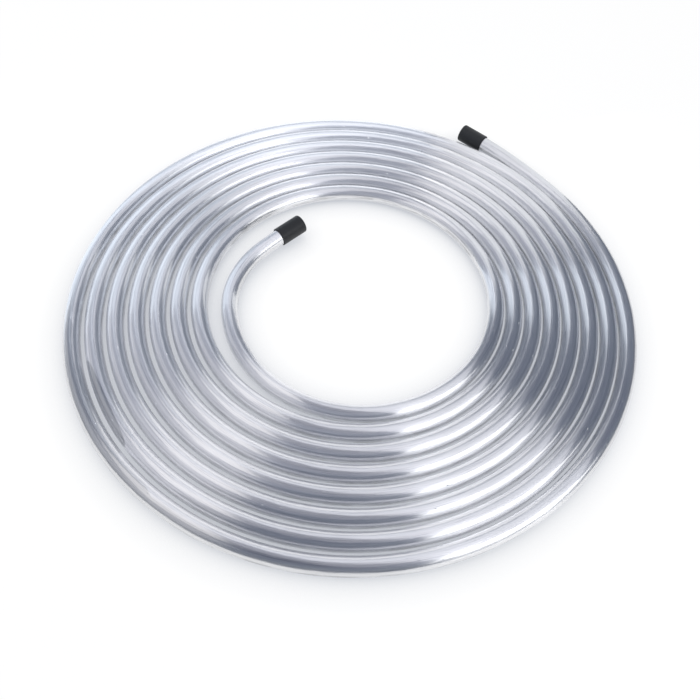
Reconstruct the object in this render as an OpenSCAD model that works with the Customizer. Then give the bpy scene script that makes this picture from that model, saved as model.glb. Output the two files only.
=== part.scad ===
// Coil of aluminium fuel line: one bright tube wound into a flat spiral of a single layer,
// with a soft black push-on cap over each of its two cut ends.
// Millimetres, +Z up. The coil lies flat on the floor.

/* [Tube] */

// Outside diameter of the tube, a standard half inch size.
tube_od = 12.7; // [8:0.1:16]
// Thickness of the wall of the tube.
tube_wall = 0.9; // [0.6:0.1:1.6]

/* [Winding] */

// Number of full turns before the outer end leaves the coil.
turns = 7; // [4:1:9]
// Radius of the empty eye, measured to the axis of the tube where the spiral begins.
eye_radius = 97; // [80:1:140]
// Free gap between neighbouring turns on the side where the winding is slack.
gap_slack = 2.55; // [1:0.05:5]
// Free gap between neighbouring turns on the side where the winding is tight.
gap_tight = 1.1; // [1:0.05:5]

/* [Inner end] */

// How far the first quarter turn is drawn in from the line of the spiral.
inner_draw_in = 6.4; // [4:0.2:14]
// Straight length between the drawn-in quarter turn and the bend into the eye.
inner_run = 3.5; // [2:0.5:20]
// Radius of the bend into the eye as a share of the eye radius.
inner_curl = 0.73; // [0.6:0.01:0.8]
// Radius of the easy curve of the last stretch, with the end of the tube on it.
inner_tip_radius = 300; // [250:10:600]
// Length of tube in that last stretch.
inner_tip_length = 39.3; // [34:0.1:46]

/* [Outer end] */

// Radius of the easy curve on which the outer end leaves the coil, as a share of the radius
// of the last half turn.
outer_ease = 1.216; // [1.1:0.004:1.4]
// Length of tube on that easy curve.
outer_tip_length = 100.4; // [85:0.2:115]

/* [End caps] */

// Whole length of a cap, from its open mouth to its closed end.
cap_length = 22.5; // [15:0.5:24]
// Thickness of the side wall of a cap.
cap_wall = 0.8; // [0.6:0.05:1]
// Thickness of the closed end of a cap.
cap_floor = 1.6; // [1:0.1:2.5]
// Outer rounding of the closed end of a cap.
cap_round = 1.2; // [0.6:0.1:1.6]
// Free space all round between a cap and the tube inside it.
cap_clearance = 0.2; // [0.15:0.05:0.3]

/* [Hidden] */

$fn = 96;

tube_bore = tube_od - 2 * tube_wall;
pitch_slack = tube_od + gap_slack;
pitch_tight = tube_od + gap_tight;

// Distance from the centre to the axis of the tube after k turns, on each side,
// kept to a fiftieth of a millimetre.
function reach_slack(k) = round(50 * (eye_radius + k * pitch_slack)) / 50;
function reach_tight(k) = round(50 * (eye_radius + k * pitch_tight)) / 50;

// Every half turn runs from one side to the other: its middle and its bend radius.
function near_middle(k) = (reach_tight(k + 1) - reach_slack(k)) / 2;
function near_radius(k) = (reach_tight(k + 1) + reach_slack(k)) / 2;
function far_middle(k) = (reach_tight(k) - reach_slack(k)) / 2;
function far_radius(k) = (reach_tight(k) + reach_slack(k)) / 2;

draw_radius = near_radius(0) - inner_draw_in;
curl_radius = round(10 * inner_curl * eye_radius) / 10;
outer_tip_radius = outer_ease * near_radius(turns);

// The bends that end off the axes, and the tilts that lift the free ends off the floor, turn
// by the angle at the origin of a right triangle with whole sides, given as [along, up],
// so that the lengths of tube meet exactly.
curl_triangle = [336, 527];
follow_triangle = [117, 44];
inner_tilt = [3116, 237];
outer_tilt = [24, 7];

function angle_of(triangle) = atan2(triangle.y, triangle.x);

// Angle through which a bend of this radius turns in this length of tube.
function sweep_of(length, radius) = length / radius * 180 / PI;

// Middle of the outermost turn, which is set over the origin.
coil_middle = [near_middle(turns), (far_radius(turns) - near_radius(turns)) / 2];

cap_bore = tube_od + 2 * cap_clearance;
cap_od = cap_bore + 2 * cap_wall;
cap_depth = cap_length - cap_floor;

// Section of the tube: a plain round wall about an open bore.
module tube_section() {
    difference() {
        circle(d = tube_od);
        circle(d = tube_bore);
    }
}

// Tube bent level to the left, starting at the origin and heading along +Y.
module bend(radius, sweep) {
    translate([-radius, 0, 0])
        rotate_extrude(angle = sweep)
            translate([radius, 0])
                tube_section();
}

// Carries what follows to the far end of such a bend.
module after_bend(radius, sweep) {
    translate([-radius, 0, 0])
        rotate([0, 0, sweep])
            translate([radius, 0, 0])
                children();
}

// The same bend, turning by the angle of a right triangle.
module triangle_bend(radius, triangle) {
    reach = ceil(2 * radius / triangle.x);
    translate([-radius, 0, 0])
        intersection() {
            rotate_extrude()
                translate([radius, 0])
                    tube_section();
            translate([0, 0, -tube_od])
                linear_extrude(2 * tube_od)
                    polygon([[0, 0], [reach * triangle.x, 0], reach * triangle]);
        }
}

module after_triangle_bend(radius, triangle) {
    after_bend(radius, angle_of(triangle))
        children();
}

// Straight tube from the origin along +Y.
module run(length) {
    rotate([-90, 0, 0])
        linear_extrude(length)
            tube_section();
}

// Carries a cap to its seat on a curved end of the tube. The cap is straight and the tube
// in it is slightly curved, so the cap lies along the chord, halfway across the bow, and is
// seated where the far edge of the tube's slanted end just meets its closed end.
module on_tip(radius, length) {
    covered = sweep_of(cap_depth, radius);
    bow = radius * (1 - cos(covered / 2));
    slant = tube_od / 2 * sin(covered / 2);
    after_bend(radius, sweep_of(length, radius) - covered / 2)
        translate([-bow / 2, slant - cap_depth / 2, 0])
            children();
}

// The near half turn k, from the tight side round to the slack side.
module near_half_turn(k) {
    translate([near_middle(k), 0, 0])
        rotate([0, 0, 180])
            rotate_extrude(angle = 180)
                translate([near_radius(k), 0])
                    tube_section();
}

// The far half turn k.
module far_half_turn(k) {
    translate([far_middle(k), 0, 0])
        rotate_extrude(angle = 180)
            translate([far_radius(k), 0])
                tube_section();
}

// The first quarter turn that keeps to the spiral, beside the drawn-in one.
module first_quarter_turn() {
    translate([near_middle(0), 0, 0])
        rotate([0, 0, 270])
            rotate_extrude(angle = 90)
                translate([near_radius(0), 0])
                    tube_section();
}

// Places along the inner end, walking inward from the near side of the coil.
module at_inner_draw() {
    translate([near_middle(0), -near_radius(0), 0])
        rotate([0, 0, 90])
            mirror([1, 0, 0])
                children();
}

module at_inner_run() {
    at_inner_draw()
        after_bend(draw_radius, 90)
            children();
}

module at_inner_curl() {
    at_inner_run()
        translate([0, inner_run, 0])
            rotate([0, angle_of(inner_tilt), 0])
                children();
}

module at_inner_tip() {
    at_inner_curl()
        after_triangle_bend(curl_radius, curl_triangle)
            children();
}

// Places along the outer end, walking outward from the tight side of the coil.
module at_outer_follow() {
    translate([reach_tight(turns + 1), 0, 0])
        children();
}

module at_outer_tip() {
    at_outer_follow()
        after_triangle_bend(near_radius(turns), follow_triangle)
            rotate([0, angle_of(outer_tilt), 0])
                children();
}

// Push-on cap, mouth at the origin and closed end along +Y.
module cap() {
    rotate([-90, 0, 0])
        rotate_extrude()
            difference() {
                union() {
                    square([cap_od / 2, cap_length - cap_round]);
                    square([cap_od / 2 - cap_round, cap_length]);
                    translate([cap_od / 2 - cap_round, cap_length - cap_round])
                        circle(r = cap_round);
                }
                translate([-1, -1])
                    square([1 + cap_bore / 2, 1 + cap_depth]);
                translate([-2 * cap_round - 1, -1])
                    square([2 * cap_round + 1, cap_length + 2]);
            }
}

// Lays the coil on the floor, with the middle of its outermost turn over the origin.
module laid() {
    translate([-coil_middle.x, -coil_middle.y, tube_od / 2])
        children();
}

// One continuous tube: both free ends and every turn between them.
module tube() {
    color("Silver")
        laid()
            union() {
                at_inner_tip()
                    bend(inner_tip_radius, sweep_of(inner_tip_length, inner_tip_radius));
                at_inner_curl()
                    triangle_bend(curl_radius, curl_triangle);
                at_inner_run()
                    run(inner_run);
                at_inner_draw()
                    bend(draw_radius, 90);
                first_quarter_turn();
                for (k = [1 : turns])
                    far_half_turn(k);
                for (k = [1 : turns])
                    near_half_turn(k);
                at_outer_follow()
                    triangle_bend(near_radius(turns), follow_triangle);
                at_outer_tip()
                    bend(outer_tip_radius, sweep_of(outer_tip_length, outer_tip_radius));
            }
}

module inner_end_cap() {
    color("Black")
        laid()
            at_inner_tip()
                on_tip(inner_tip_radius, inner_tip_length)
                    cap();
}

module outer_end_cap() {
    color("Black")
        laid()
            at_outer_tip()
                on_tip(outer_tip_radius, outer_tip_length)
                    cap();
}

tube();
inner_end_cap();
outer_end_cap();
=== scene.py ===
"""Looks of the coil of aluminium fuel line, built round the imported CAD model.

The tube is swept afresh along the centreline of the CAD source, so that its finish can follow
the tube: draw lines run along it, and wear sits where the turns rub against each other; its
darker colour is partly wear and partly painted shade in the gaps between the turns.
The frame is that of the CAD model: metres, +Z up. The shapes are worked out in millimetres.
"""

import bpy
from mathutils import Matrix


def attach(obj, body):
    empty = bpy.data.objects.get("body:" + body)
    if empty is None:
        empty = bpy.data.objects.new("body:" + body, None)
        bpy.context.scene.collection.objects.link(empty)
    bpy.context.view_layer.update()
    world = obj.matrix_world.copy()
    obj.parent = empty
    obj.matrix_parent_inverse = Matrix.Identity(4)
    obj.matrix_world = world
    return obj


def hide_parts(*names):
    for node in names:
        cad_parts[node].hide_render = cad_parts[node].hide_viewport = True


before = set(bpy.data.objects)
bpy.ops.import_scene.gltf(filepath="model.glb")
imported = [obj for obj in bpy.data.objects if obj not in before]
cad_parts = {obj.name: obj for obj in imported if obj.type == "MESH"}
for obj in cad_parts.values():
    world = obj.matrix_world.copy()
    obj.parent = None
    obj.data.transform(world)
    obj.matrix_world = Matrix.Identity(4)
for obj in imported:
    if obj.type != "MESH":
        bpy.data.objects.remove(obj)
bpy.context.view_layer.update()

import math

import bpy
import numpy as np
from mathutils import Matrix

MM = 0.001

# ---------------------------------------------------------------- sizes of the CAD source, mm
TUBE_OD, TUBE_WALL = 12.7, 0.9
TURNS, EYE_RADIUS, GAP_SLACK, GAP_TIGHT = 7, 97.0, 2.55, 1.1
INNER_DRAW_IN, INNER_RUN, INNER_CURL = 6.4, 3.5, 0.73
INNER_TIP_RADIUS, INNER_TIP_LENGTH = 300.0, 39.3
OUTER_EASE, OUTER_TIP_LENGTH = 1.216, 100.4
CAP_LENGTH, CAP_WALL, CAP_FLOOR, CAP_ROUND, CAP_CLEARANCE = 22.5, 0.8, 1.6, 1.2, 0.2
CURL_TURN = math.atan2(527, 336)
FOLLOW_TURN = math.atan2(44, 117)
INNER_TILT = math.atan2(237, 3116)
OUTER_TILT = math.atan2(7, 24)

# ---------------------------------------------------------------- sizes of the dressing, mm
STEP = 3.8  # between sections of the tube
SIDES, BORE_SIDES = 32, 14
RIM_LENGTH, RIM_ROLL = 0.5, 0.22  # a tube cutter rolls the rim of each end in a little
CAP_SIDES = 96
CAP_LIP, CAP_BEAD, CAP_INNER_ROUND = 0.22, 0.05, 0.5
DIMPLE_RADIUS, DIMPLE_DEPTH = 1.1, 0.18
SKIRT_OVAL = 0.004  # share by which the skirt of a cap is out of round at its mouth


def rounded(length, per_mm):
    """The source rounds some lengths, to so many steps a millimetre."""
    return round(per_mm * length) / per_mm


def reach_slack(k):
    return rounded(EYE_RADIUS + k * (TUBE_OD + GAP_SLACK), 50)


def reach_tight(k):
    return rounded(EYE_RADIUS + k * (TUBE_OD + GAP_TIGHT), 50)


def near_middle(k):
    return (reach_tight(k + 1) - reach_slack(k)) / 2


def near_radius(k):
    return (reach_tight(k + 1) + reach_slack(k)) / 2


def far_radius(k):
    return (reach_tight(k) + reach_slack(k)) / 2


DRAW_RADIUS = near_radius(0) - INNER_DRAW_IN
CURL_RADIUS = rounded(INNER_CURL * EYE_RADIUS, 10)
OUTER_TIP_RADIUS = OUTER_EASE * near_radius(TURNS)

# what the source shifts the coil by, to set it on the floor over the origin
MIDDLE = np.array([near_middle(TURNS), (far_radius(TURNS) - near_radius(TURNS)) / 2, -TUBE_OD / 2])


# ---------------------------------------------------------------- centreline
class Walk:
    """A walk along the axis of the tube: where it is, where it heads and where it bends to."""

    def __init__(self, at, heading, inside):
        self.at = np.array(at, float)
        self.heading = np.array(heading, float)
        self.inside = np.array(inside, float)
        self.points = [self.at.copy()]

    def run(self, length):
        count = max(1, round(length / STEP))
        start = self.at.copy()
        for k in range(1, count + 1):
            self.at = start + self.heading * length * k / count
            self.points.append(self.at.copy())

    def bend(self, radius, sweep):
        count = max(1, round(radius * sweep / STEP))
        centre = self.at + radius * self.inside
        heading, inside = self.heading, self.inside
        for k in range(1, count + 1):
            a = sweep * k / count
            self.heading = heading * math.cos(a) + inside * math.sin(a)
            self.inside = inside * math.cos(a) - heading * math.sin(a)
            self.at = centre - radius * self.inside
            self.points.append(self.at.copy())

    def tilt(self, angle):
        """Lifts the inside of the bends that follow by this angle."""
        up = np.cross(self.heading, self.inside)
        up *= 1 if up[2] > 0 else -1
        self.inside = self.inside * math.cos(angle) + up * math.sin(angle)


def walk_inward(tip_length):
    """From the near side of the coil, where the inner end leaves the spiral, along its tip."""
    walk = Walk((near_middle(0), -near_radius(0), 0), (-1, 0, 0), (0, 1, 0))
    walk.bend(DRAW_RADIUS, math.pi / 2)
    walk.run(INNER_RUN)
    walk.tilt(INNER_TILT)
    walk.bend(CURL_RADIUS, CURL_TURN)
    walk.bend(INNER_TIP_RADIUS, tip_length / INNER_TIP_RADIUS)
    return walk


def walk_outward(tip_length):
    """From the same place round every turn, and along the tip of the outer end."""
    walk = Walk((near_middle(0), -near_radius(0), 0), (1, 0, 0), (0, 1, 0))
    walk.bend(near_radius(0), math.pi / 2)
    for k in range(1, TURNS + 1):
        walk.bend(far_radius(k), math.pi)
        walk.bend(near_radius(k), math.pi)
    walk.bend(near_radius(TURNS), FOLLOW_TURN)
    walk.tilt(OUTER_TILT)
    walk.bend(OUTER_TIP_RADIUS, tip_length / OUTER_TIP_RADIUS)
    return walk


def centreline():
    """Points along the axis of the tube from its inner end to its outer end."""
    inward, outward = walk_inward(INNER_TIP_LENGTH), walk_outward(OUTER_TIP_LENGTH)
    return np.array(inward.points[:0:-1] + outward.points) - MIDDLE


def cap_seat(walk_to, tip_length, tip_radius):
    """Middle of a cap's mouth, and the directions along it and to the inside of the bend.

    The cap lies along the chord of the stretch that it covers, halfway across the bow.
    """
    depth = CAP_LENGTH - CAP_FLOOR
    half = depth / tip_radius / 2
    walk = walk_to(tip_length - depth / 2)
    bow, slant = tip_radius * (1 - math.cos(half)), TUBE_OD / 2 * math.sin(half)
    mouth = walk.at + walk.inside * bow / 2 + walk.heading * (slant - depth / 2) - MIDDLE
    return mouth, walk.heading, walk.inside


# ---------------------------------------------------------------- meshes
def mesh_object(name, verts, faces, smooth=True):
    mesh = bpy.data.meshes.new(name)
    mesh.from_pydata([tuple(v) for v in verts], [], [tuple(f) for f in faces])
    mesh.update()
    for poly in mesh.polygons:
        poly.use_smooth = smooth
    obj = bpy.data.objects.new(name, mesh)
    bpy.context.scene.collection.objects.link(obj)
    return obj


def keep_straight(mesh, places):
    """Stores where each vertex is on the straightened piece, in metres: along it and across."""
    attribute = mesh.attributes.new("straight", "FLOAT_VECTOR", "POINT")
    attribute.data.foreach_set("vector", places.ravel())


def outward(verts, faces):
    """The faces of a closed shape, all turned over if they face inwards."""
    verts = np.asarray(verts)
    volume = 0.0
    for face in faces:
        for k in range(1, len(face) - 1):
            volume += np.dot(verts[face[0]], np.cross(verts[face[k]], verts[face[k + 1]]))
    return faces if volume > 0 else [face[::-1] for face in faces]


def sections(points):
    """Directions across the tube at every point, level and upright, carried without twist."""
    ahead = np.gradient(points, axis=0)
    ahead /= np.linalg.norm(ahead, axis=1)[:, None]
    up = np.zeros_like(points)
    last = np.array([0.0, 0.0, 1.0])
    for k, heading in enumerate(ahead):
        last = last - heading * last.dot(heading)
        last /= np.linalg.norm(last)
        up[k] = last
    return np.cross(ahead, up), up


def stitch(first, second):
    """Triangles between two closed rings of vertex numbers, which may differ in length."""
    faces, i, j = [], 0, 0
    while i < len(first) or j < len(second):
        a, b = first[i % len(first)], second[j % len(second)]
        first_lags = i < len(first) and (i + 1) / len(first) <= (j + 1) / len(second)
        if j >= len(second) or first_lags:
            faces.append((a, b, first[(i + 1) % len(first)]))
            i += 1
        else:
            faces.append((a, b, second[(j + 1) % len(second)]))
            j += 1
    return faces


def skin(points, side, up, radius, sides, facing_out):
    """Vertices and faces of one round skin swept along the points."""
    turn = np.arange(sides) * 2 * math.pi / sides
    ring = np.cos(turn)[None, :, None] * side[:, None] + np.sin(turn)[None, :, None] * up[:, None]
    verts = (points[:, None] + radius[:, None, None] * ring).reshape(-1, 3) * MM
    row = np.arange(len(points) - 1)[:, None] * sides
    col = np.arange(sides)[None, :]
    after = (col + 1) % sides
    corners = [row + col, row + after, row + sides + after, row + sides + col]
    faces = np.stack(corners, -1).reshape(-1, 4)
    return verts, faces[:, ::-1] if facing_out else faces


def sharpen(mesh, rings):
    """Marks the edges within each ring, given by its first vertex and its length, as sharp."""
    pairs = np.zeros(len(mesh.edges) * 2, np.int32)
    mesh.edges.foreach_get("vertices", pairs)
    pairs = pairs.reshape(-1, 2)
    sharp = np.zeros(len(mesh.edges), bool)
    for start, sides in rings:
        sharp |= ((pairs >= start) & (pairs < start + sides)).all(1)
    mesh.edges.foreach_set("use_edge_sharp", sharp)


def straightened(stations):
    """Each vertex of the tube laid out straight: how far along it, and its place across."""
    skins = []
    for sides, radius in ((SIDES, TUBE_OD / 2), (BORE_SIDES, TUBE_OD / 2 - TUBE_WALL)):
        turn = np.arange(sides) * 2 * math.pi / sides
        skins.append(np.stack([np.repeat(stations, sides),
                               np.tile(np.cos(turn), len(stations)) * radius,
                               np.tile(np.sin(turn), len(stations)) * radius], -1))
    return np.concatenate(skins).astype(np.float32)


def map_tube(mesh, stations, straight):
    """UV "Wrap" goes round and along the tube; "OFBake" lays it out in strips for a bake."""
    rows, margin = 15, 0.006
    wrap, strips = [], []
    # each strip holds a band of the outer skin and over it one of the bore
    for sides, low, high in ((SIDES, 0.01, 0.87), (BORE_SIDES, 0.89, 0.99)):
        col = np.arange(sides)[None, :]
        start, stop = stations[:-1, None] + 0 * col, stations[1:, None] + 0 * col
        across = np.stack([col, col + 1, col + 1, col], -1) / sides + 0 * start[..., None]
        along = np.stack([start, start, stop, stop], -1)
        if sides == SIDES:
            across, along = across[..., ::-1], along[..., ::-1]
        wrap.append(np.stack([across, along * MM], -1).reshape(-1, 2))
        strip = np.floor(rows * (start + stop) / 2 / stations[-1])[..., None]
        x = margin + (1 - 2 * margin) * (rows * along / stations[-1] - strip)
        y = (strip + low + (high - low) * across) / rows
        strips.append(np.stack([x, y], -1).reshape(-1, 2))
    # the faces of the cut ends come last; the caps hide them, so they share a spot
    spot_x, spot_y, spot_scale = 0.93, (rows - 0.5) / rows, 0.004
    vertex = np.zeros(len(mesh.loops), np.int32)
    mesh.loops.foreach_get("vertex_index", vertex)
    along, level, upright = straight[vertex[len(wrap[0]) + len(wrap[1]):]].T
    wrap.append(np.stack([np.arctan2(upright, level) / (2 * math.pi) % 1, along * MM], -1))
    strips.append(np.stack([spot_x + spot_scale * level, spot_y + spot_scale * upright], -1))
    for name, parts in (("Wrap", wrap), ("OFBake", strips)):
        layer = mesh.uv_layers.new(name=name)
        layer.data.foreach_set("uv", np.concatenate(parts).astype(np.float32).ravel())
    mesh.uv_layers["Wrap"].active_render = True


def swept_tube(name):
    """The whole tube: outer skin, bore and the two cut ends with their rolled rims."""
    points = centreline()
    side, up = sections(points)
    steps = np.linalg.norm(np.diff(points, axis=0), axis=1)
    length = np.concatenate([[0], np.cumsum(steps)])
    total = length[-1]
    # one more section near each end, for its rolled rim
    stations = np.concatenate([[0, RIM_LENGTH], length[1:-1], [total - RIM_LENGTH, total]])
    points, side, up = (np.stack([np.interp(stations, length, v[:, k]) for k in range(3)], -1)
                        for v in (points, side, up))
    radius = np.full(len(stations), TUBE_OD / 2)
    bore = radius - TUBE_WALL
    radius[[0, -1]] -= RIM_ROLL
    outer, outer_faces = skin(points, side, up, radius, SIDES, True)
    inner, inner_faces = skin(points, side, up, bore, BORE_SIDES, False)
    rims, ends = [], []
    for at in (0, len(stations) - 1):
        rims += [(at * SIDES, SIDES), (len(outer) + at * BORE_SIDES, BORE_SIDES)]
        faces = stitch(*(range(start, start + sides) for start, sides in rims[-2:]))
        ends += [face[::-1] for face in faces] if at == 0 else faces
    obj = mesh_object(name, [*outer, *inner], [*outer_faces, *(inner_faces + len(outer)), *ends])
    mesh = obj.data
    is_round = np.arange(len(mesh.polygons)) < len(mesh.polygons) - len(ends)
    mesh.polygons.foreach_set("use_smooth", is_round)
    sharpen(mesh, rims)
    straight = straightened(stations)
    keep_straight(mesh, straight * MM)
    map_tube(mesh, stations, straight)
    return obj


def arc(middle, radius, start, stop, count):
    """Points (along, out) of an arc, from one angle to another in degrees."""
    turn = np.radians(np.linspace(start, stop, count))
    return [(middle[0] + radius * math.cos(a), middle[1] + radius * math.sin(a)) for a in turn]


def cap_profile():
    """Points (along, out) of half a cap's section: from the middle of its floor, out through
    the mouth with its small bead, along the plain skirt and in to the dimple of its closed end.
    """
    bore = TUBE_OD / 2 + CAP_CLEARANCE
    body = bore + CAP_WALL
    depth = CAP_LENGTH - CAP_FLOOR
    skirt_start, skirt_end = 1.8, CAP_LENGTH - CAP_ROUND
    lip_bore, lip_body = bore + 0.02, body + CAP_BEAD
    inner_round = CAP_INNER_ROUND
    profile = [(depth, 0.0), (depth, bore * 0.5), (depth, bore - inner_round)]
    profile += arc((depth - inner_round, bore - inner_round), inner_round, 0, 90, 5)[1:]
    profile += [(depth * k / 6, bore) for k in (5, 4, 3, 2, 1)]
    profile += [(1.2, bore), (0.5, lip_bore)]
    profile += arc((CAP_LIP, lip_bore + CAP_LIP), CAP_LIP, 270, 180, 4)
    profile += arc((CAP_LIP, lip_body - CAP_LIP), CAP_LIP, 180, 90, 5)
    profile += [(0.8, lip_body), (1.3, body + 0.015), (skirt_start, body)]
    profile += [(skirt_start + (skirt_end - skirt_start) * k / 14, body) for k in range(1, 15)]
    profile += arc((skirt_end, body - CAP_ROUND), CAP_ROUND, 90, 0, 9)[1:]
    profile += [(CAP_LENGTH, out) for out in (4.6, 3.0, DIMPLE_RADIUS + 0.3)]
    profile += [(CAP_LENGTH - 0.04, DIMPLE_RADIUS),
                (CAP_LENGTH - DIMPLE_DEPTH + 0.02, DIMPLE_RADIUS - 0.25),
                (CAP_LENGTH - DIMPLE_DEPTH, 0.0)]
    return profile


def moulded_cap(name, seat):
    """One push-on cap, turned about its axis."""
    mouth, axis, inside = seat
    across = np.cross(axis, inside)
    skirt_from = TUBE_OD / 2 + CAP_CLEARANCE + 0.1
    verts, straight, rings = [], [], []
    for along, out in cap_profile():
        start = len(verts)
        for k in range(CAP_SIDES if out else 1):
            a = 2 * math.pi * k / CAP_SIDES
            # dip-moulded: the skirt is never quite round, least of all at its mouth
            oval = SKIRT_OVAL * math.cos(2 * a + 0.7) * (1 - along / CAP_LENGTH)
            reach = out * (1 + oval) if out > skirt_from else out
            spoke = math.cos(a) * inside + math.sin(a) * across
            verts.append((mouth + axis * along + reach * spoke) * MM)
            straight.append((along * MM, out * math.cos(a) * MM, out * math.sin(a) * MM))
        rings.append(range(start, len(verts)))
    faces = []
    for first, second in zip(rings, rings[1:]):
        for k in range(CAP_SIDES):
            after = (k + 1) % CAP_SIDES
            if len(first) == 1:
                faces.append((first[0], second[k], second[after]))
            elif len(second) == 1:
                faces.append((first[k], second[0], first[after]))
            else:
                faces.append((first[k], second[k], second[after], first[after]))
    obj = mesh_object(name, verts, outward(verts, faces))
    keep_straight(obj.data, np.array(straight, np.float32))
    return obj


# ---------------------------------------------------------------- materials
class Nodes:
    """A short way to write a node tree."""

    def __init__(self, owner):
        owner.use_nodes = True
        self.tree = owner.node_tree
        self.tree.nodes.clear()

    def add(self, kind, inputs=None, **settings):
        node = self.tree.nodes.new("ShaderNode" + kind)
        for key, value in settings.items():
            setattr(node, key, value)
        for key, value in (inputs or {}).items():
            socket = node.inputs[key]
            if isinstance(value, bpy.types.NodeSocket):
                self.tree.links.new(value, socket)
            else:
                socket.default_value = value
        return node

    def math(self, operation, a, b=0.0, c=0.0):
        return self.add("Math", {0: a, 1: b, 2: c}, operation=operation).outputs[0]

    def vector(self, operation, inputs):
        return self.add("VectorMath", inputs, operation=operation).outputs[0]

    def ramp(self, value, low, high):
        """From 0 at low to 1 at high, smoothly."""
        node = self.add("MapRange", {"Value": value, "From Min": low, "From Max": high},
                        interpolation_type="SMOOTHSTEP")
        return node.outputs["Result"]

    def mix(self, factor, a, b):
        node = self.add("Mix", {"Factor": factor, "A": a, "B": b}, data_type="RGBA")
        return node.outputs["Result"]

    def noise(self, place, offset, scale, detail):
        """Noise from 0 to 1 at a place that is scaled along each axis and then moved."""
        mapped = self.add("Mapping", {"Vector": place, "Location": offset, "Scale": scale})
        return self.add("TexNoise", {"Vector": mapped.outputs[0], "Scale": 1.0, "Detail": detail,
                                     "Roughness": 0.6}).outputs["Fac"]

    def straight(self):
        return self.add("Attribute", attribute_name="straight").outputs["Vector"]


def aluminium():
    """Drawn aluminium: fine draw lines under a smooth skin, with rubs and a few nicks. The rubs are
    darker in colour, partly as wear and partly as painted shade in the gaps between the turns.

    The draw lines lean the shading normal round the section, so that a light is smeared across
    the tube and stays sharp along it.
    """
    mat = bpy.data.materials.new("drawn_aluminium")
    n = Nodes(mat)
    round_tube = n.add("Tangent", direction_type="UV_MAP", uv_map="Wrap").outputs[0]
    straight = n.straight()
    normal = n.add("NewGeometry").outputs["Normal"]
    along_tube = n.vector("CROSS_PRODUCT", {0: normal, 1: round_tube})

    def streaks(length, width, detail=0.0, seed=0.0):
        """Noise drawn out along the tube, about 0 with a spread of 1."""
        fac = n.noise(straight, (seed, seed, -seed), (1 / length, 1 / width, 1 / width), detail)
        return n.math("MULTIPLY_ADD", fac, 7.0, -3.5)

    def leaned(by_round, by_along):
        """The normal leaned by these slopes, round and along the tube."""
        vector = normal
        for direction, slope in ((round_tube, by_round), (along_tube, by_along)):
            push = n.vector("SCALE", {0: direction, "Scale": slope})
            vector = n.vector("ADD", {0: vector, 1: push})
        return n.vector("NORMALIZE", {0: vector})

    fine = streaks(0.030, 0.00022)
    broad = streaks(0.016, 0.0010, detail=2.0, seed=3.0)
    swell_round = streaks(0.055, 0.012, detail=1.0, seed=11.0)
    swell_along = streaks(0.045, 0.010, detail=1.0, seed=17.0)
    nick = n.ramp(streaks(0.0034, 0.0017, detail=1.0, seed=23.0), 1.75, 2.1)
    cloud = streaks(0.040, 0.004, detail=3.0, seed=29.0)
    draw_line = n.ramp(streaks(0.040, 0.0008, detail=2.0, seed=41.0), 0.1, 1.6)
    # rubs lie on the two flanks, where neighbouring turns touch, and come and go along the tube;
    # their darker colour is partly wear and partly painted shade in the gaps between the turns
    level = n.add("SeparateXYZ", {0: straight}).outputs[1]
    flank = n.ramp(n.math("ABSOLUTE", level), 0.0059, 0.00634)
    rub_and_shade_patches = n.ramp(streaks(0.018, 0.0016, detail=3.0, seed=37.0), -0.6, 0.9)
    rub_and_gap_shade = n.math("MULTIPLY", flank, rub_and_shade_patches)

    def lean(fine_slope, broad_slope):
        """How far a surface leans round the tube."""
        wave = n.math("MULTIPLY", swell_round, 0.010)
        return n.math("MULTIPLY_ADD", fine, fine_slope,
                      n.math("MULTIPLY_ADD", broad, broad_slope, wave))

    lean_along = n.math("MULTIPLY_ADD", swell_along, 0.003, n.math("MULTIPLY", nick, 0.4))
    metal = n.mix(draw_line, (0.93, 0.935, 0.95, 1), (0.66, 0.67, 0.70, 1))
    bsdf = n.add("BsdfPrincipled", {
        # painted shade: the flanks in the gaps between turns are darkened towards dark grey, partly
        # as rub wear
        "Base Color": n.mix(n.math("MULTIPLY", rub_and_gap_shade, 0.55), metal, (0.34, 0.34, 0.345, 1)),
        "Metallic": 1.0,
        "Roughness": n.math("MULTIPLY_ADD", cloud, 0.018, n.math("MULTIPLY_ADD", rub_and_gap_shade, 0.16, 0.31)),
        "Anisotropic": 1.0,
        "Tangent": round_tube,
        "Normal": leaned(lean(0.05, 0.045), lean_along),
        "Coat Weight": 1.0,
        "Coat Roughness": 0.12,
        "Coat IOR": 3.8,
        "Coat Normal": leaned(lean(0.010, 0.022), lean_along),
    })
    n.add("OutputMaterial", {"Surface": bsdf.outputs[0]})
    return mat


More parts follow.
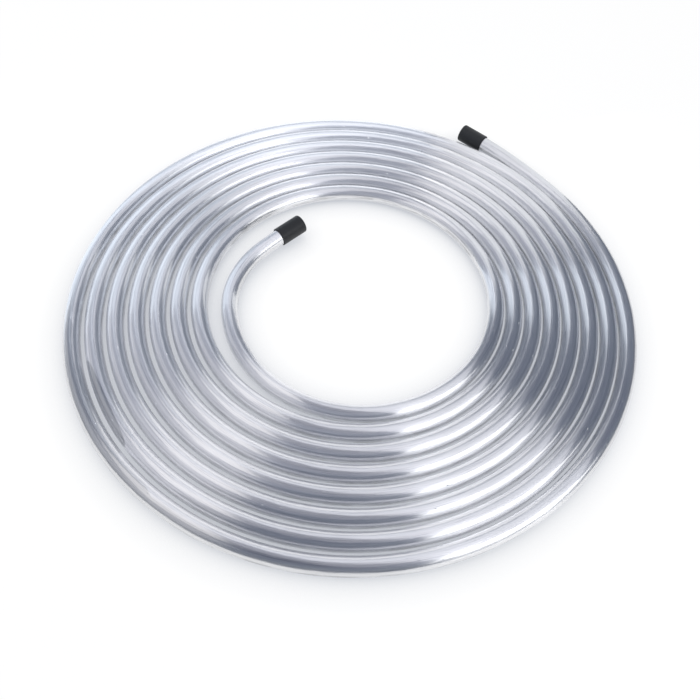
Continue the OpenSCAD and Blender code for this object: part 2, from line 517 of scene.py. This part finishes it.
def vinyl():
    """Soft black vinyl: dull, with a slight orange-peel skin, scuffs along the skirt and dust."""
    mat = bpy.data.materials.new("cap_vinyl")
    n = Nodes(mat)
    straight = n.straight()

    def noise(size, detail, stretch=1, seed=0.0):
        """Noise with grains of this size, stretched along the cap."""
        scale = (1 / (size * stretch), 1 / size, 1 / size)
        return n.noise(straight, (seed, -seed, seed), scale, detail)

    peel = noise(0.0005, 3.0)
    cloud = noise(0.006, 2.0, seed=5.0)
    scuff = n.ramp(noise(0.0004, 3.0, stretch=12, seed=9.0), 0.62, 0.74)
    dust = n.ramp(noise(0.0007, 1.0, seed=14.0), 0.73, 0.80)
    shade = n.mix(n.math("MULTIPLY_ADD", scuff, 0.45, n.math("MULTIPLY", cloud, 0.3)),
                  (0.013, 0.0145, 0.016, 1), (0.036, 0.039, 0.042, 1))
    height = n.math("MULTIPLY_ADD", scuff, 0.5, peel)
    bump = n.add("Bump", {"Strength": 0.35, "Distance": 0.00006, "Height": height})
    bsdf = n.add("BsdfPrincipled", {
        "Base Color": n.mix(n.math("MULTIPLY", dust, 0.35), shade, (0.16, 0.16, 0.155, 1)),
        "Roughness": n.math("MULTIPLY_ADD", cloud, 0.16, n.math("MULTIPLY_ADD", scuff, 0.12, 0.38)),
        "Normal": bump.outputs[0],
    })
    n.add("OutputMaterial", {"Surface": bsdf.outputs[0]})
    return mat


# ---------------------------------------------------------------- studio
# colours of the sky by elevation in degrees
SKY = (
    (0, (0.16, 0.18, 0.21)),
    (15, (0.07, 0.085, 0.125)),
    (35, (0.17, 0.195, 0.25)),
    (60, (0.09, 0.105, 0.155)),
    (90, (0.04, 0.04, 0.06)),
)
# Where each softbox stands as seen from the coil, and its size in half angles: all in degrees,
# with the distance in metres. It faces the coil until it is rolled, yawed and pitched.
SOFTBOXES = (
    # name, azimuth, elevation, distance, half width, half height, roll, yaw, pitch, light
    ("key", 319, 25, 1.54, 29, 16, -21, -51, 37, (1.35, 1.35, 1.34)),
    ("left", 183, 25, 0.58, 35.5, 15, 10, -5, 26, (0.25, 0.24, 0.23)),
    ("strip", 136, 6, 1.32, 59, 15, -61, 2, -46, (0.54, 0.58, 0.63)),
    ("side", 40, 29, 0.35, 16, 24, 39, 37, -55, (0.71, 0.71, 0.7)),
    ("back", 84, -2, 6.0, 17.5, 34.5, 44, 24, 0, (0.89, 0.87, 0.86)),
    ("top", 24, 77, 0.40, 53, 20, -6, -29, -31, (0.6, 0.6, 0.62)),
    ("arch", 162, 60, 0.94, 21.5, 18, -16, 11, 60, (0.71, 0.69, 0.66)),
    ("card", 139, 6, 0.42, 46, 14.5, 2, -53, 58, (0.36, 0.39, 0.43)),
    ("fill", 320, 84, 0.36, 45, 42, -97, -42, -51, (0.19, 0.19, 0.21)),
)
FLOOR_HALF = 3.0
# how brightly the floor shows in the open and deep in a gap, and its tint there
OPEN_GLOW, GAP_GLOW = 1.07, 0.6
GAP_TINT = (0.82, 0.86, 0.94, 1)
SHADE_REACH = 0.022  # how far from a tube the floor is shaded
GLOW_SHARE = 0.9  # of what camera, metal and glass see of the floor; the rest is lit paint

# the camera of the photo: focal length in pixels of a picture 700 wide, its axes and its place
FOCAL, PICTURE, SENSOR = 694.83, 700, 36
CAMERA_AXES = (
    (0.97395967, -0.22542026, 0.02425406),
    (0.17289129, 0.80765617, 0.56373763),
    (-0.14666682, -0.5448644, 0.82559774),
)
CAMERA_AT = (-0.08566, -0.31683, 0.41756)


def placed(x_axis, y_axis, z_axis, at):
    columns = (x_axis, y_axis, z_axis, at)
    return Matrix([[float(column[k]) for column in columns] for k in range(3)] + [[0, 0, 0, 1]])


def camera():
    data = bpy.data.cameras.new("camera")
    obj = bpy.data.objects.new("camera", data)
    bpy.context.scene.collection.objects.link(obj)
    bpy.context.scene.camera = obj
    data.sensor_width = SENSOR
    data.lens = SENSOR * FOCAL / PICTURE
    data.clip_start, data.clip_end = 0.01, 20
    obj.matrix_world = placed(*CAMERA_AXES, CAMERA_AT)


def turned(first, second, angle):
    """Two directions at right angles, after a turn of the first towards the second."""
    return (math.cos(angle) * first + math.sin(angle) * second,
            math.cos(angle) * second - math.sin(angle) * first)


def softbox(name, azimuth, elevation, distance, half_width, half_height, roll, yaw, pitch, light):
    """A rectangular lamp. The camera doesn't see it, and metal does."""
    a, e, roll, yaw, pitch = (math.radians(v) for v in (azimuth, elevation, roll, yaw, pitch))
    away = np.array([math.cos(a) * math.cos(e), math.sin(a) * math.cos(e), math.sin(e)])
    level = np.array([-math.sin(a), math.cos(a), 0.0])
    side, rise = turned(level, np.cross(away, level), roll)
    back, side = turned(away, side, yaw)
    back, rise = turned(back, rise, pitch)
    data = bpy.data.lights.new(name, "AREA")
    data.shape = "RECTANGLE"
    data.size = 2 * distance * math.tan(math.radians(half_width))
    data.size_y = 2 * distance * math.tan(math.radians(half_height))
    brightest = max(light)
    data.color = tuple(v / brightest for v in light)
    data.energy = brightest * math.pi * data.size * data.size_y
    obj = bpy.data.objects.new(name, data)
    bpy.context.scene.collection.objects.link(obj)
    obj.matrix_world = placed(side, rise, back, away * distance)


def studio():
    for box in SOFTBOXES:
        softbox(*box)
    world = bpy.data.worlds.new("studio")
    bpy.context.scene.world = world
    n = Nodes(world)
    split = n.add("SeparateXYZ", {0: n.add("TexCoord").outputs["Generated"]})
    height = n.math("MULTIPLY", n.math("ARCSINE", split.outputs[2]), 2 / math.pi)
    ramp = n.add("ValToRGB", {"Fac": height})
    stops = ramp.color_ramp.elements
    for k, (elevation, colour) in enumerate(SKY):
        stop = stops[k] if k < 2 else stops.new(elevation / 90)
        stop.position = elevation / 90
        stop.color = (*colour, 1)
    sky = n.add("Background", {"Color": ramp.outputs["Color"], "Strength": 1.0})
    n.add("OutputWorld", {"Surface": sky.outputs[0]})


def floor():
    """The pale floor: white in the open, with a soft shade beside the tube and in the gaps."""
    half = FLOOR_HALF
    verts = [(-half, -half, 0), (half, -half, 0), (half, half, 0), (-half, half, 0)]
    obj = mesh_object("floor", verts, [(0, 1, 2, 3)], smooth=False)
    mat = bpy.data.materials.new("pale_floor")
    n = Nodes(mat)
    path = n.add("LightPath")
    seen = n.math("MAXIMUM", path.outputs["Is Camera Ray"], path.outputs["Is Glossy Ray"])
    seen = n.math("MAXIMUM", seen, path.outputs["Is Transmission Ray"])
    paint = n.add("BsdfDiffuse", {"Color": (0.9, 0.9, 0.9, 1)})
    in_open = n.add("AmbientOcclusion", {"Distance": SHADE_REACH}, samples=4).outputs["AO"]
    glow = n.math("MULTIPLY_ADD", in_open, OPEN_GLOW - GAP_GLOW, GAP_GLOW)
    tint = n.mix(in_open, GAP_TINT, (1, 1, 1, 1))
    white = n.add("Emission", {"Color": tint, "Strength": glow})
    share = n.math("MULTIPLY", seen, GLOW_SHARE)
    mix = n.add("MixShader", {0: share, 1: paint.outputs[0], 2: white.outputs[0]})
    n.add("OutputMaterial", {"Surface": mix.outputs[0]})
    obj.data.materials.append(mat)


# ---------------------------------------------------------------- scene
camera()
studio()
floor()
tube = swept_tube("tube_drawn")
tube.data.materials.append(aluminium())
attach(tube, "root")
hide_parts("tube")
black = vinyl()
for name, seat in (("inner_end_cap", cap_seat(walk_inward, INNER_TIP_LENGTH, INNER_TIP_RADIUS)),
                   ("outer_end_cap", cap_seat(walk_outward, OUTER_TIP_LENGTH, OUTER_TIP_RADIUS))):
    cap = moulded_cap(name + "_moulded", seat)
    cap.data.materials.append(black)
    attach(cap, "root")
    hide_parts(name)
bpy.context.scene.view_settings.view_transform = "Standard"
